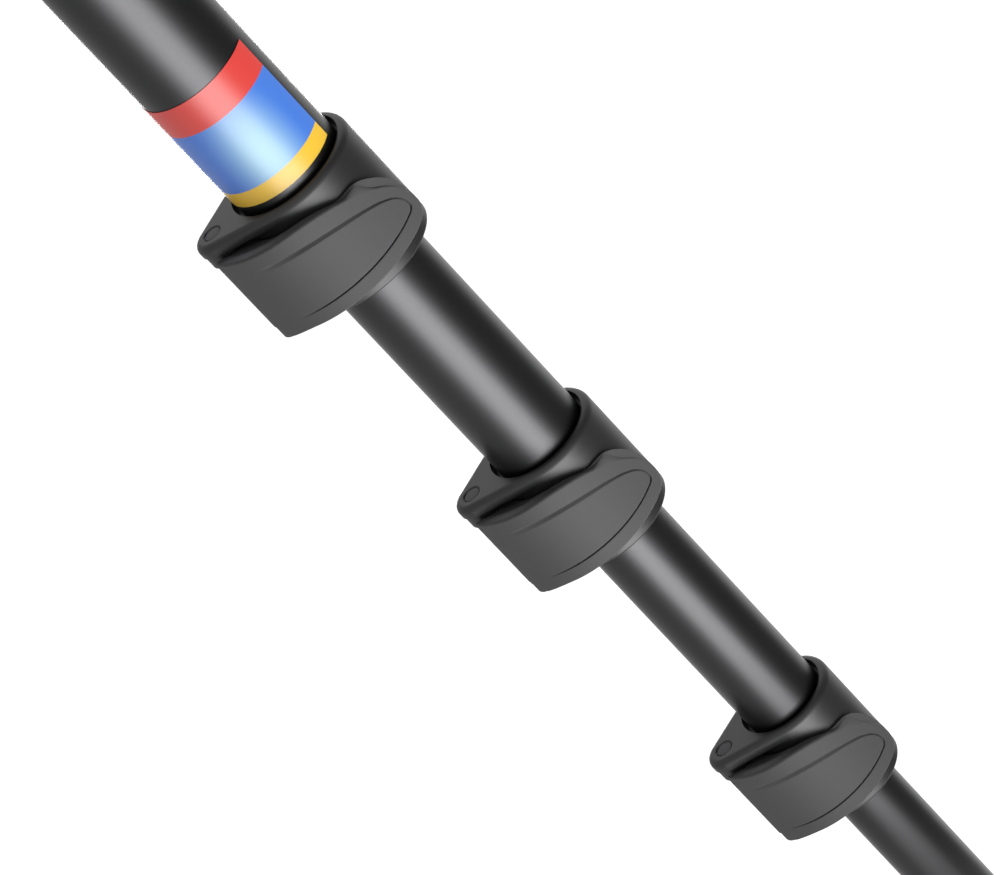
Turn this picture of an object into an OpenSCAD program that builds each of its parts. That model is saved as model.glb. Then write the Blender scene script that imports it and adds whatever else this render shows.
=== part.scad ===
// Four-section camera monopod with flip locks, in millimetres.
// +Z runs up the tube to the camera screw, the origin is the middle of the foot's resting face,
// the lock pins lie on the -X side and the levers wrap the front, -Y.

/* [Tubes] */
// Outside diameter of the top tube
tube_1_d = 30; // [24:0.5:36]
// Step in outside diameter from each tube to the next
tube_step = 4; // [3.6:0.1:5]
// Wall of every tube
tube_wall = 1.2; // [0.9:0.1:1.4]
// Length of every tube
tube_len = 430; // [360:1:500]
// Length of the nylon bush on the top end of each inner tube
bush_len = 40; // [25:1:60]
// Thickness of the bush's rim over the tube end
bush_rim = 1.5; // [1:0.1:3]

/* [Rest pose] */
// How far the second section is pulled out in the photograph
pull_2 = 66.4; // [20:0.1:120]
// How far the third section is pulled out
pull_3 = 70.8; // [20:0.1:120]
// How far the bottom section is pulled out
pull_4 = 70; // [40:0.1:120]
// Gap left between neighbouring locks when folded
fold_gap = 1; // [0.5:0.1:3]

/* [Lock collars] */
// Height of a lock collar
lock_h = 33.4; // [30:0.1:40]
// Collar wall around the upper tube
collar_wall = 3.1; // [2.5:0.1:5]
// Depth to which the upper tube is let into the collar
socket_depth = 13.4; // [10:0.1:14.5]
// Width of the groove round the tube at the collar's mouth
mouth_w = 1.1; // [0.6:0.1:1.6]
// Depth of that groove
mouth_depth = 3; // [0.8:0.1:4]
// Thickness of the top flange
flange_t = 3.5; // [3:0.1:4]
// Rounding of the flange's top edge
flange_round = 1.9; // [0.6:0.1:2]
// Radius of the lug round the pin
lug_r = 5.5; // [4.5:0.1:6]
// Depth of the boss under the top lug
boss_depth = 7; // [5:0.1:8]
// Thickness of the bottom lug
foot_lug_t = 3.3; // [2.5:0.1:3.6]
// Radius of the bottom lug
foot_lug_r = 4; // [3.8:0.1:5]
// Bevel round the collar's bottom edge
collar_bevel = 0.8; // [0.4:0.1:1.2]
// How far the rib behind the pin stands out from the collar wall
rib_out = 1.5; // [1.2:0.1:1.8]
// Thickness of that rib
rib_w = 3; // [2:0.1:4]
// Distance of the rib from the brake window
rib_gap = 0.3; // [0.2:0.1:0.6]
// Lip at the bottom that keeps the liner in
lip_t = 1.6; // [1.2:0.1:2.5]
// Wall of the nylon liner
liner_wall = 1.1; // [0.8:0.1:1.3]

/* [Lock pin and brake] */
// Radius of the lock pin
pin_r = 2.3; // [1.8:0.1:2.6]
// Distance of the pin's axis outside the collar wall
pin_out = 5.6; // [5:0.1:7]
// How far the pin's ends lie below the lug faces
pin_sunk = 0.2; // [0.1:0.1:0.5]
// Radius of the lever's knuckle
knuckle_r = 4.6; // [4:0.1:4.8]
// Radius of the cam on the knuckle
cam_r = 4.85; // [4.6:0.05:5]
// Throw of the cam, its centre's distance from the pin's axis
cam_throw = 0.7; // [0.5:0.05:0.8]
// Width of the brake shoe
shoe_w = 8.4; // [6:0.1:10]
// Height of the brake shoe
shoe_h = 12.4; // [8:0.1:12.6]

/* [Lever] */
// Radius of the lever's outer face beyond the collar wall
lever_out = 8; // [7:0.1:10]
// Centre of that face to the pin side of the tube's axis
lever_arc_x = 4.3; // [2:0.1:6]
// Centre of that face behind the tube's axis
lever_arc_y = 4.6; // [3:0.1:6]
// Thickness of the lever's plate
lever_t = 3; // [2:0.1:4]
// Depth of the plate's top edge below the flange face
lever_top = 4; // [3.8:0.1:6]
// Depth of the plate's bottom edge below the flange face
lever_bottom = 30.1; // [26:0.1:30.6]
// How far the plate reaches past the knuckle on the pin side
lever_over = 0.3; // [0:0.1:0.5]
// Distance from the plate's bottom edge up to the tip's point
tip_rise = 2.7; // [2:0.1:4]
// Rounding of the plate's bottom corner on the pin side
corner_round = 2.5; // [1:0.1:3]
// Height of the base ledge above the plate's inner side
ledge_h = 0.7; // [0.4:0.1:0.8]
// Where the base ledge's top edge starts to fall, to the pin side of the axis
ledge_fall = 1.8; // [0:0.1:6]
// How far the base ledge's tip reaches past the collar's right side
ledge_tip = 1.2; // [0.8:0.1:1.6]
// Where the ledge's lip starts to rise out of the face's edge, right of the axis
lip_from = 4; // [-2:0.5:6]
// Where the lip has its full height, right of the axis
lip_to = 11; // [7:0.5:12]
// How far the back of the face's top edge falls on the pin side of the lip
top_drop = 0.5; // [0.3:0.1:1.2]
// How far the base lies below that
base_drop = 0.2; // [0.1:0.1:0.5]
// Where the face's top edge starts to fall, to the pin side of the axis
face_fall = 12; // [9:0.1:14]
// How far the face's tip reaches past the collar's right side
face_tip = 0.2; // [-0.5:0.1:0.4]
// Margin of the ledge outside the face along the top
face_top = 0.6; // [0.4:0.1:1.5]
// Margin of the ledge outside the face along the bottom and the pin side
face_edge = 0.4; // [0.3:0.1:0.8]
// Width of the slope between the ledge and the face's edge
face_slope = 0.15; // [0.1:0.05:0.25]
// Margin between the face's edge and the leaf groove at the top
leaf_top = 4.4; // [3:0.1:6]
// Margin at the bottom
leaf_bottom = 3.9; // [3:0.1:6]
// Margin at the tip
leaf_tip = 2.3; // [1.5:0.1:4]
// Margin on the pin side
leaf_left = 1.2; // [0.8:0.1:3]
// Where the leaf's top edge starts to fall, to the pin side of the axis
leaf_fall = 20; // [18:0.1:24]
// Rounding of the leaf's lower corner
leaf_corner = 1.2; // [0.8:0.1:2]
// Where the leaf groove runs out, to the pin side of the axis
leaf_end = 22; // [14:0.1:23]
// Length over which the groove deepens from there
leaf_fade = 11; // [6:0.5:20]
// Width of the groove along the top
groove_top = 1.3; // [0.6:0.1:1.4]
// Width of the groove round the tip and along the bottom
groove_low = 0.4; // [0.3:0.1:0.8]
// Depth of the groove
groove_sunk = 0.7; // [0.3:0.05:0.8]
// Depth of the leaf panel's edge below the face
panel_sunk = 0.1; // [0.05:0.05:0.2]

/* [Label] */
// Height of the label band
label_h = 33.8; // [20:0.1:60]
// Gap from the first lock up to the label
label_up = 2.2; // [1:0.1:20]
// Angle of tube that the label wraps
label_wrap = 240; // [60:1:340]
// Angle from the front to the label's right-hand end
label_end = 58.6; // [0:0.1:90]
// Thickness of the label film
label_t = 0.12; // [0.08:0.01:0.3]

/* [Head and grip] */
// Length of the foam grip
grip_len = 130; // [80:1:200]
// Thickness of the foam
grip_t = 4.5; // [3:0.1:8]
// Rounding of the grip's ends
grip_round = 3; // [1:0.1:3]
// Radius of the camera platform
platform_r = 22.5; // [20:0.1:30]
// Thickness of the platform's disc
platform_t = 8; // [6:0.1:12]
// Height of the skirt round the tube's top end
skirt_h = 8; // [6:0.1:14]
// Wall of that skirt
skirt_wall = 3.4; // [2.5:0.1:5]
// Rounding of the platform's edges
platform_round = 2; // [0.5:0.1:3]
// Thickness of the rubber pad
pad_t = 2; // [1.2:0.1:3]
// Depth of the recess for the pad
pad_recess = 0.8; // [0.4:0.1:1]
// Margin of platform outside the pad
pad_margin = 1.8; // [1:0.1:4]
// Radius of the hole in the pad
pad_hole_r = 7.4; // [7:0.1:9]
// Depth of the head plug in the tube
plug_depth = 22; // [15:1:28]
// Thickness of the plug's flange
plug_flange = 2; // [1.5:0.1:4]
// Radius of the camera screw, a quarter of an inch across
screw_r = 3.175; // [3.175:0.001:4.763]
// Length of the camera screw's plain wall above its flange
screw_len = 4.9; // [4:0.1:6]
// Chamfer on the camera screw
screw_tip = 0.6; // [0.3:0.1:0.8]
// Radius of the screw's flange
screw_flange_r = 6.6; // [5.5:0.1:7]
// How far that flange lies below the pad's face
screw_sunk = 0.2; // [0.1:0.1:0.5]
// Radius of the screw's lower end, three eighths of an inch across
screw_lower_r = 4.76; // [4:0.01:5]
// Length of the screw's lower end
screw_lower = 16; // [8:0.5:20]
// Radius of the circle of platform screws
fixing_circle = 9.3; // [8:0.1:10.5]
// Number of platform screws
fixing_count = 3; // [2:1:4]
// Radius of a platform screw
fixing_r = 1.5; // [1:0.1:2]
// Radius of its countersunk head
fixing_head_r = 2.7; // [2:0.1:3]
// Length of a platform screw
fixing_len = 18; // [12:1:22]
// Radius of the grub screw in the skirt
grub_r = 2; // [1.5:0.1:2.5]
// How far the grub screw lies below the skirt's face
grub_sunk = 0.2; // [0.1:0.1:0.6]

/* [Foot] */
// Height of the rubber foot
foot_h = 38; // [30:1:50]
// Thickness of rubber under the tube
foot_floor = 18; // [14:1:24]
// Radius of the foot's sole
sole_r = 14; // [12:0.1:18]
// Height of the sole's rim
sole_h = 6; // [4:0.1:10]
// Bevel round the sole
sole_bevel = 1; // [0.5:0.1:2]
// Wall of the foot's sleeve round the tube
foot_wall = 2.6; // [2:0.1:4]
// Number of grooves round the sleeve
ring_count = 3; // [1:1:4]
// Width of a groove
ring_w = 1.8; // [1:0.1:2.5]
// Height of the first groove above the rubber's floor
ring_start = 3; // [2:0.1:5]
// Distance from one groove to the next
ring_pitch = 4.5; // [3:0.1:5]
// Depth of a groove
ring_depth = 0.9; // [0.4:0.1:1.2]
// Length of the plug in the bottom tube
foot_plug_len = 20; // [12:1:30]
// Radius of the foot's stud
stud_r = 3; // [2:0.1:4]
// Length of the stud above the rubber's floor
stud_up = 14; // [8:0.5:18]
// Length of the stud cast into the rubber
stud_down = 11; // [8:0.5:12]
// Radius of the stud's head
stud_head_r = 5.5; // [4.5:0.1:7]
// Thickness of the stud's head
stud_head_t = 2; // [1.5:0.1:3]

/* [Fits] */
// Gap at glued, pressed and screwed seats
seat_gap = 0.03; // [0.01:0.01:0.05]
// Running clearance of a lever on its pin
pin_run = 0.08; // [0.04:0.01:0.1]
// Clearance of an inner tube in its liner
liner_run = 0.12; // [0.08:0.01:0.2]
// Clearance of a bush in the tube round it
bush_run = 0.15; // [0.1:0.01:0.25]
// Gap between a closed brake shoe and its tube
shoe_gap = 0.05; // [0.03:0.01:0.1]
// Gap between a brake shoe and the cam
cam_gap = 0.1; // [0.08:0.01:0.15]
// Gap round a brake shoe in its window
shoe_side = 0.3; // [0.2:0.05:0.5]
// Gap between a lever and the collar or lugs
lever_gap = 0.35; // [0.3:0.05:0.6]
// Clearance of the lip round the inner tube
lip_run = 0.4; // [0.3:0.05:0.8]

/* [Hidden] */
$fn = 64;

// A little overlap that keeps cuts and joins clean
cut = 0.5;
// Number of stations along each edge of a lever's plate
stations = 28;
// Direction, from the pin side, at which the bottom lug's sides run into the collar
lug_root = 39;
// First and last direction of the web between plate and knuckle, and the step between
web_from = 157;
web_to = 133;
web_step = 6;
// Depth to which the web is let into the plate on its outer and inner side
web_skin = 0.4;
web_bite = 0.6;

// Radius of tube i outside and inside, counted from the top
function tube_r(i) = tube_1_d / 2 - (i - 1) * tube_step / 2;
function bore_r(i) = tube_r(i) - tube_wall;

// Height of the top face of lock i
function lock_z(i) =
  i == 3 ? foot_h + fold_gap + pull_4 + lock_h
  : lock_z(i + 1) + lock_h + fold_gap + (i == 2 ? pull_3 : pull_2);

// Height of the bottom end of tube i
function tube_z(i) = i == 4 ? foot_floor : lock_z(i) - socket_depth;

// Collar radius, pin position and liner radii of lock i
function collar_r(i) = tube_r(i) + collar_wall;
function pin_x(i) = collar_r(i) + pin_out;
function liner_in(i) = tube_r(i + 1) + liner_run;
function liner_out(i) = liner_in(i) + liner_wall;

// Brake window of a lock, measured down from its top face
window_top = socket_depth + (lock_h - socket_depth - foot_lug_t - shoe_h) / 2 - shoe_side;
window_h = shoe_h + 2 * shoe_side;
window_w = shoe_w + 2 * shoe_side;

// Heights in the head
tube_top = tube_z(1) + tube_len;
platform_z = tube_top + plug_flange;
platform_top = platform_z + platform_t;
pad_z = platform_top - pad_recess;
pad_top = pad_z + pad_t;
screw_z = pad_top - screw_sunk;

// Makes one tube from its bottom end
module plain_tube(i) {
  translate([0, 0, tube_z(i)])
    difference() {
      cylinder(r = tube_r(i), h = tube_len);
      translate([0, 0, -cut])
        cylinder(r = bore_r(i), h = tube_len + 2 * cut);
    }
}

// Nylon bush on the top end of tube i, sliding in the tube above
module top_bush(i) {
  translate([0, 0, tube_z(i) + tube_len - bush_len])
    rotate_extrude()
      polygon([
        [tube_r(i) + seat_gap, 0],
        [bore_r(i - 1) - bush_run, 0],
        [bore_r(i - 1) - bush_run, bush_len + bush_rim],
        [bore_r(i), bush_len + bush_rim],
        [bore_r(i), bush_len + seat_gap],
        [tube_r(i) + seat_gap, bush_len + seat_gap]
      ]);
}

// Disc with a rounded top edge, its top at z = 0
module round_disc(r, t, edge) {
  rotate_extrude()
    polygon([
      [0, -t],
      [r, -t],
      for (a = [0 : 22.5 : 90]) [r - edge * (1 - cos(a)), -edge * (1 - sin(a))],
      [0, 0]
    ]);
}

// Lock collar i: flange with the top lug, round body, rib between the lugs, bottom lug, socket,
// liner seat and window
module collar(i) {
  r = collar_r(i);
  px = pin_x(i);
  translate([0, 0, lock_z(i)])
    difference() {
      union() {
        hull() {
          round_disc(r, flange_t, flange_round);
          translate([-px, 0, 0])
            round_disc(lug_r, flange_t, flange_round);
        }
        rotate_extrude()
          polygon([
            [liner_in(i), -lock_h],
            [r - collar_bevel, -lock_h],
            [r, -lock_h + collar_bevel],
            [r, -flange_t],
            [liner_in(i), -flange_t]
          ]);
        translate([-px, 0, -boss_depth])
          cylinder(r = lug_r - lever_gap, h = boss_depth - flange_t / 2);
        translate([-r - rib_out, window_w / 2 + rib_gap, -lock_h + foot_lug_t / 2])
          cube([rib_out + collar_wall, rib_w, lock_h - foot_lug_t / 2 - flange_t / 2]);
        translate([0, 0, -lock_h])
          linear_extrude(foot_lug_t) {
            translate([-px, 0])
              circle(r = foot_lug_r);
            polygon([
              [-px, foot_lug_r],
              [-r * cos(lug_root), r * sin(lug_root)],
              [-r * cos(lug_root), -r * sin(lug_root)],
              [-px, -foot_lug_r]
            ]);
          }
      }
      translate([0, 0, -socket_depth])
        cylinder(r = tube_r(i) + seat_gap, h = socket_depth + cut);
      translate([0, 0, -mouth_depth])
        cylinder(r = tube_r(i) + mouth_w, h = mouth_depth + cut);
      translate([0, 0, -lock_h + lip_t])
        cylinder(r = liner_out(i) + seat_gap, h = lock_h - lip_t - socket_depth + cut);
      translate([0, 0, -lock_h - cut])
        cylinder(r = tube_r(i + 1) + lip_run, h = lip_t + 2 * cut);
      translate([-px, 0, -lock_h - cut])
        cylinder(r = pin_r + seat_gap, h = lock_h + 2 * cut);
      translate([-r - cut, -window_w / 2, -window_top - window_h])
        cube([r + cut, window_w, window_h]);
    }
}

// Steel pin of lock i, flush in both lugs
module lock_pin(i) {
  translate([-pin_x(i), 0, lock_z(i) - lock_h + pin_sunk])
    cylinder(r = pin_r, h = lock_h - 2 * pin_sunk);
}

// Nylon liner of lock i, held between the upper tube's end and the collar's lip
module liner(i) {
  z = lock_z(i);
  difference() {
    translate([0, 0, z - lock_h + lip_t + seat_gap])
      cylinder(r = liner_out(i), h = lock_h - lip_t - socket_depth - 2 * seat_gap);
    translate([0, 0, z - lock_h])
      cylinder(r = liner_in(i), h = lock_h);
    translate([-collar_r(i), -window_w / 2, z - window_top - window_h])
      cube([collar_r(i), window_w, window_h]);
  }
}

// Brake shoe of lock i: a block in the window, hollowed to the inner tube
module brake_shoe(i) {
  hollow_r = tube_r(i + 1) + shoe_gap;
  back = pin_x(i) - cam_throw - cam_r - cam_gap;
  horn = sqrt(hollow_r * hollow_r - shoe_w * shoe_w / 4);
  translate([0, 0, lock_z(i) - window_top - window_h + shoe_side])
    difference() {
      translate([-back, -shoe_w / 2, 0])
        cube([back - horn + cut, shoe_w, shoe_h]);
      translate([0, 0, -cut])
        cylinder(r = hollow_r, h = shoe_h + 2 * cut);
    }
}

// Radius of the lever's outer face
function face_r(i) = collar_r(i) + lever_out;

// Distance from the face's centre, in direction b, to the lever's inner side:
// the plate's own thickness, or the collar's wall with its gap where that lies further out
function inner_k(i, b) =
  let (
    u = -lever_arc_x * cos(b) - lever_arc_y * sin(b),
    c = lever_arc_x * lever_arc_x + lever_arc_y * lever_arc_y - pow(collar_r(i) + lever_gap, 2)
  )
  max(face_r(i) - lever_t, -u + sqrt(u * u - c));

// Point of the lever at direction b, distance k from the face's centre, and height z
function lever_point(b, k, z) = [-lever_arc_x + k * cos(b), lever_arc_y - k * sin(b), z];

// Outline of a lever's plate as [x on the outer face, z]: along the top to the tip, then back
// along the bottom. The top edge falls in a quarter ellipse from fall to the tip, and the bottom
// edge has a round of radius left_r at its left end and of radius tip_r at the tip.
function edge_x(n, left, tip) = left + (tip - left) * (1 - cos(180 * n / (stations - 1))) / 2;
function top_edge(x, fall, tip, top, point) =
  x <= fall ? top
  : point + (top - point) * sqrt(max(0, 1 - pow((x - fall) / (tip - fall), 2)));
function round_up(d, r) = d >= r ? 0 : r - sqrt(max(0, r * r - pow(r - d, 2)));
function outline(left, fall, tip, top, bottom, left_r, tip_r) =
  let (xs = [for (n = [0 : stations - 1]) edge_x(n, left, tip)])
  concat(
    [for (x = xs) [x, top_edge(x, fall, tip, top, bottom + tip_r)]],
    [for (n = [stations - 2 : -1 : 0])
      [xs[n], bottom + max(round_up(xs[n] - left, left_r), round_up(tip - xs[n], tip_r))]]
  );

// The same outline with its top edge led down, left of the lip, to a drop below the face's top edge
function lip_share(x) =
  let (t = min(1, max(0, (x - lip_from) / (lip_to - lip_from)))) t * t * (3 - 2 * t);
function lipped(line, tip, top, point, drop) =
  [for (n = [0 : len(line) - 1])
    let (p = line[n], edge = top_edge(min(p[0], tip), -face_fall, tip, top, point) - drop)
    n < stations ? [p[0], edge + (p[1] - edge) * lip_share(p[0])] : p];

// One closed loop of lever points from an outline, on the inner side or below the face
function face_b(i, x) = acos((x + lever_arc_x) / face_r(i));
function inner_loop(i, line, rise) =
  [for (p = line) let (b = face_b(i, p[0])) lever_point(b, inner_k(i, b) + rise, p[1])];
function groove_depth(x) = min(1, max(0, (x + leaf_end) / leaf_fade));
function face_loop(i, line, sunk) =
  [for (p = line) lever_point(face_b(i, p[0]), face_r(i) - sunk * groove_depth(p[0]), p[1])];

// Plate of lever i as one closed surface: inner side, base ledge, face, leaf groove and panel
module lever_plate(i) {
  left = -pin_x(i) - knuckle_r - lever_over;
  tip = collar_r(i) + face_tip;
  top = -lever_top - face_top;
  bottom = -lever_bottom + face_edge;
  leaf_x0 = left + face_edge + leaf_left;
  leaf_x = tip - leaf_tip;
  leaf_z = bottom + leaf_bottom;
  base = lipped(
    outline(left, -ledge_fall, collar_r(i) + ledge_tip, -lever_top, -lever_bottom,
      corner_round, tip_rise),
    tip, top, bottom + tip_rise, top_drop + base_drop);
  foot = lipped(
    outline(left + face_edge - face_slope, -face_fall, tip + face_slope, top + face_slope,
      bottom - face_slope, corner_round, tip_rise),
    tip, top, bottom + tip_rise, top_drop);
  face = outline(left + face_edge, -face_fall, tip, top, bottom, corner_round, tip_rise);
  leaf = outline(leaf_x0, -leaf_fall, leaf_x, top - leaf_top, leaf_z, 0, leaf_corner);
  groove = outline(leaf_x0 + groove_low / 2, -leaf_fall, leaf_x - groove_low / 2,
    top - leaf_top - groove_top / 2, leaf_z + groove_low / 2, 0, leaf_corner);
  panel = outline(leaf_x0 + groove_low, -leaf_fall, leaf_x - groove_low,
    top - leaf_top - groove_top, leaf_z + groove_low, 0, leaf_corner);
  loops = [
    inner_loop(i, base, 0),
    inner_loop(i, base, ledge_h),
    inner_loop(i, foot, ledge_h),
    face_loop(i, face, 0),
    face_loop(i, leaf, 0),
    face_loop(i, groove, groove_sunk),
    face_loop(i, panel, panel_sunk)
  ];
  count = 2 * stations - 1;
  last = (len(loops) - 1) * count;
  faces = concat(
    [for (n = [0 : stations - 3]) [count - 1 - n, count - 2 - n, n + 1, n]],
    [[stations, stations - 1, stations - 2]],
    [for (s = [0 : len(loops) - 2], n = [0 : count - 1])
      let (m = (n + 1) % count)
      [s * count + n, s * count + m, (s + 1) * count + m, (s + 1) * count + n]],
    [for (n = [0 : stations - 3])
      [last + n, last + n + 1, last + count - 2 - n, last + count - 1 - n]],
    [[last + stations - 2, last + stations - 1, last + stations]]
  );
  polyhedron(points = [for (loop = loops, p = loop) p], faces = faces, convexity = 6);
}

// Lever i: plate, web, knuckle and cam, bored for the pin and relieved under the top lug
module lever(i) {
  px = pin_x(i);
  low = -lock_h + foot_lug_t + lever_gap;
  high = -boss_depth - lever_gap;
  web_out = face_r(i) - web_skin;
  web_in = face_r(i) - lever_t + web_bite;
  web_low = -lever_bottom + corner_round;
  translate([0, 0, lock_z(i)])
    difference() {
      union() {
        lever_plate(i);
        translate([-px, 0, low])
          cylinder(r = knuckle_r, h = high - low);
        translate([-px + cam_throw, 0, -window_top - window_h + shoe_side])
          cylinder(r = cam_r, h = shoe_h);
        translate([0, 0, web_low])
          linear_extrude(high - web_low)
            polygon([
              [-px, 0],
              [-px - knuckle_r + lever_over, 0],
              for (b = [web_from : -web_step : web_to])
                [-lever_arc_x + web_out * cos(b), lever_arc_y - web_out * sin(b)],
              for (b = [web_to, web_to + web_step])
                [-lever_arc_x + web_in * cos(b), lever_arc_y - web_in * sin(b)],
              [-px + knuckle_r * cos(45), -knuckle_r * sin(45)]
            ]);
      }
      translate([-px, 0, -lock_h])
        cylinder(r = pin_r + pin_run, h = lock_h);
      translate([-px, 0, high])
        cylinder(r = lug_r + 2 * lever_gap, h = lock_h);
    }
}

module camera_screw() {
  color("#b9bcc0")
    rotate_extrude()
      polygon([
        [0, screw_z - pad_t + screw_sunk - screw_lower],
        [screw_lower_r, screw_z - pad_t + screw_sunk - screw_lower],
        [screw_lower_r, pad_z + seat_gap],
        [screw_flange_r, pad_z + seat_gap],
        [screw_flange_r, screw_z],
        [screw_r, screw_z],
        [screw_r, screw_z + screw_len],
        [screw_r - screw_tip, screw_z + screw_len + screw_tip],
        [0, screw_z + screw_len + screw_tip]
      ]);
}

module platform_pad() {
  color("#1c1c1d")
    translate([0, 0, pad_z + seat_gap])
      difference() {
        cylinder(r = platform_r - pad_margin - seat_gap, h = pad_t - seat_gap);
        translate([0, 0, -cut])
          cylinder(r = pad_hole_r, h = pad_t + 2 * cut);
      }
}

module camera_platform() {
  color("#2a2a2c")
    difference() {
      rotate_extrude()
        union() {
          translate([0, platform_z])
            square([platform_r - platform_round, platform_t]);
          translate([0, platform_z + platform_round])
            square([platform_r, platform_t - 2 * platform_round]);
          translate([platform_r - platform_round, platform_z + platform_round])
            circle(r = platform_round);
          translate([platform_r - platform_round, platform_top - platform_round])
            circle(r = platform_round);
          translate([0, platform_z - skirt_h])
            square([tube_r(1) + skirt_wall, skirt_h + cut]);
        }
      translate([0, 0, platform_z - skirt_h - cut])
        cylinder(r = tube_r(1) + seat_gap, h = skirt_h + cut + seat_gap);
      translate([0, 0, pad_z])
        cylinder(r = platform_r - pad_margin, h = pad_recess + cut);
      translate([0, 0, platform_z - cut])
        cylinder(r = screw_lower_r + seat_gap, h = platform_t + 2 * cut);
      fixings(seat_gap, cut);
      translate([0, 0, platform_z - skirt_h / 2 - plug_flange / 2])
        rotate([-90, 0, 0])
          cylinder(r = grub_r + seat_gap, h = platform_r);
    }
}

// Countersunk screws from the platform's recess down into the plug, grown by g for their holes,
// which go on above the recess by over
module fixings(g, over) {
  for (n = [0 : fixing_count - 1])
    rotate([0, 0, 30 + n * 360 / fixing_count])
      translate([fixing_circle, 0, 0])
        rotate_extrude()
          polygon([
            [0, pad_z - fixing_len - g],
            [fixing_r + g, pad_z - fixing_len - g],
            [fixing_r + g, pad_z - fixing_head_r + fixing_r],
            [fixing_head_r + g, pad_z],
            [fixing_head_r + g, pad_z + over],
            [0, pad_z + over]
          ]);
}

module platform_screws() {
  color("#8d9094")
    fixings(0, 0);
}

module platform_grub_screw() {
  color("#3a3a3c")
    translate([0, tube_r(1) + seat_gap, platform_z - skirt_h / 2 - plug_flange / 2])
      rotate([-90, 0, 0])
        cylinder(r = grub_r, h = skirt_wall - seat_gap - grub_sunk);
}

module head_plug() {
  color("#3c3c3e")
    difference() {
      union() {
        translate([0, 0, tube_top - plug_depth])
          cylinder(r = bore_r(1) - seat_gap, h = plug_depth + plug_flange);
        translate([0, 0, tube_top + seat_gap])
          cylinder(r = tube_r(1), h = plug_flange - seat_gap);
      }
      translate([0, 0, tube_top - plug_depth - cut])
        cylinder(r = screw_lower_r + seat_gap, h = plug_depth + plug_flange + 2 * cut);
      fixings(seat_gap, cut);
    }
}

module foam_grip() {
  inner = tube_r(1) + seat_gap;
  color("#202022")
    translate([0, 0, platform_z - skirt_h - fold_gap - grip_len])
      difference() {
        rotate_extrude()
          union() {
            translate([0, grip_round])
              square([inner + grip_t, grip_len - 2 * grip_round]);
            square([inner + grip_t - grip_round, grip_len]);
            translate([inner + grip_t - grip_round, grip_round])
              circle(r = grip_round);
            translate([inner + grip_t - grip_round, grip_len - grip_round])
              circle(r = grip_round);
          }
        translate([0, 0, -cut])
          cylinder(r = inner, h = grip_len + 2 * cut);
      }
}

module tube_1() {
  color("#3a3a3d")
    plain_tube(1);
}

module label() {
  color("#4b8ade")
    translate([0, 0, lock_z(1) + label_up])
      rotate([0, 0, -90 + label_end - label_wrap])
        rotate_extrude(angle = label_wrap)
          translate([tube_r(1) + seat_gap, 0])
            square([label_t, label_h]);
}

module collar_1() {
  color("#3f3f41")
    collar(1);
}

module pin_1() {
  color("#55565a")
    lock_pin(1);
}

module liner_1() {
  color("#d8d6cf")
    liner(1);
}

module lever_1() {
  color("#4a4a4c")
    lever(1);
}

module brake_shoe_1() {
  color("#c9c6bd")
    brake_shoe(1);
}

module top_bush_2() {
  color("#d8d6cf")
    top_bush(2);
}

module tube_2() {
  color("#39393c")
    plain_tube(2);
}

module collar_2() {
  color("#3f3f41")
    collar(2);
}

module pin_2() {
  color("#55565a")
    lock_pin(2);
}

module liner_2() {
  color("#d8d6cf")
    liner(2);
}

module lever_2() {
  color("#4a4a4c")
    lever(2);
}

module brake_shoe_2() {
  color("#c9c6bd")
    brake_shoe(2);
}

module top_bush_3() {
  color("#d8d6cf")
    top_bush(3);
}

module tube_3() {
  color("#363638")
    plain_tube(3);
}

module collar_3() {
  color("#3f3f41")
    collar(3);
}

module pin_3() {
  color("#55565a")
    lock_pin(3);
}

module liner_3() {
  color("#d8d6cf")
    liner(3);
}

module lever_3() {
  color("#4a4a4c")
    lever(3);
}

module brake_shoe_3() {
  color("#c9c6bd")
    brake_shoe(3);
}

module top_bush_4() {
  color("#d8d6cf")
    top_bush(4);
}

module tube_4() {
  color("#343436")
    plain_tube(4);
}

module foot_plug() {
  color("#3c3c3e")
    translate([0, 0, foot_floor + seat_gap])
      difference() {
        cylinder(r = bore_r(4) - seat_gap, h = foot_plug_len);
        translate([0, 0, -cut])
          cylinder(r = stud_r + seat_gap, h = foot_plug_len + 2 * cut);
      }
}

module foot_stud() {
  color("#9a9da1")
    translate([0, 0, foot_floor - stud_down])
      union() {
        cylinder(r = stud_head_r, h = stud_head_t);
        cylinder(r = stud_r, h = stud_down + stud_up);
      }
}

module rubber_foot() {
  sleeve_r = tube_r(4) + seat_gap + foot_wall;
  color("#1b1b1c")
    difference() {
      rotate_extrude()
        polygon([
          [0, 0],
          [sole_r - sole_bevel, 0],
          [sole_r, sole_bevel],
          [sole_r, sole_h],
          [sleeve_r, foot_floor],
          [sleeve_r, foot_h - sole_bevel],
          [sleeve_r - sole_bevel, foot_h],
          [0, foot_h]
        ]);
      translate([0, 0, foot_floor])
        cylinder(r = tube_r(4) + seat_gap, h = foot_h);
      translate([0, 0, foot_floor - stud_down - seat_gap])
        cylinder(r = stud_head_r + seat_gap, h = stud_head_t + 2 * seat_gap);
      translate([0, 0, foot_floor - stud_down])
        cylinder(r = stud_r + seat_gap, h = stud_down + cut);
      for (n = [0 : ring_count - 1])
        translate([0, 0, foot_floor + ring_start + n * ring_pitch])
          difference() {
            cylinder(r = sole_r + cut, h = ring_w);
            translate([0, 0, -cut])
              cylinder(r = sleeve_r - ring_depth, h = ring_w + 2 * cut);
          }
    }
}

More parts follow.
